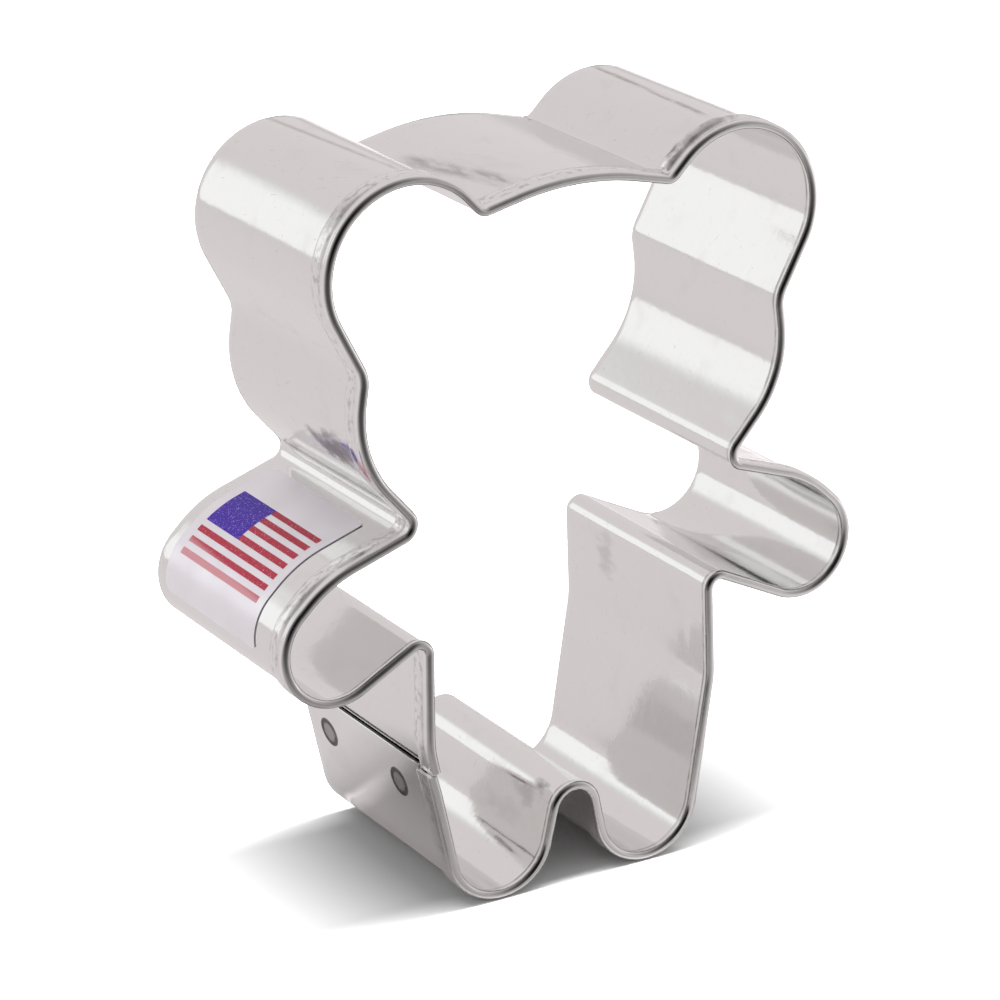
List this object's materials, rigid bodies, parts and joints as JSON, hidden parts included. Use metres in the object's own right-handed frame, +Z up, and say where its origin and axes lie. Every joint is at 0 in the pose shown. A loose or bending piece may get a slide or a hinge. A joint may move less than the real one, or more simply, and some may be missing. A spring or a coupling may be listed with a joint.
{
  "type": "cookie cutter",
  "caption": "Bear-shaped cookie cutter bent from a tinplate strip, with a rolled rim, a thin cutting edge, a spot-welded lap and a paper-thin label round one arm.",
  "frame": {"origin": "middle of the cutter's width and depth, on the plane that its feet stand on", "axes": "+Z up through the head, +Y from the rolled rim to the cutting edge, +X across to the arm without a label"},
  "size_m": [0.0548, 0.0222, 0.0634],
  "materials": {
    "tinplate": "semi-bright rolled tinplate",
    "weld": "pressed and dulled by the weld",
    "film": "smooth label film",
    "red_ink": "printed ink",
    "blue_ink": "printed ink",
    "black_ink": "printed ink"
  },
  "bodies": {
    "root": {"band": "tinplate", "spot_welds": "weld", "label_film": "film", "printed_stripes": "red_ink", "printed_block": "blue_ink", "printed_line": "black_ink"}
  },
  "joints": []
}
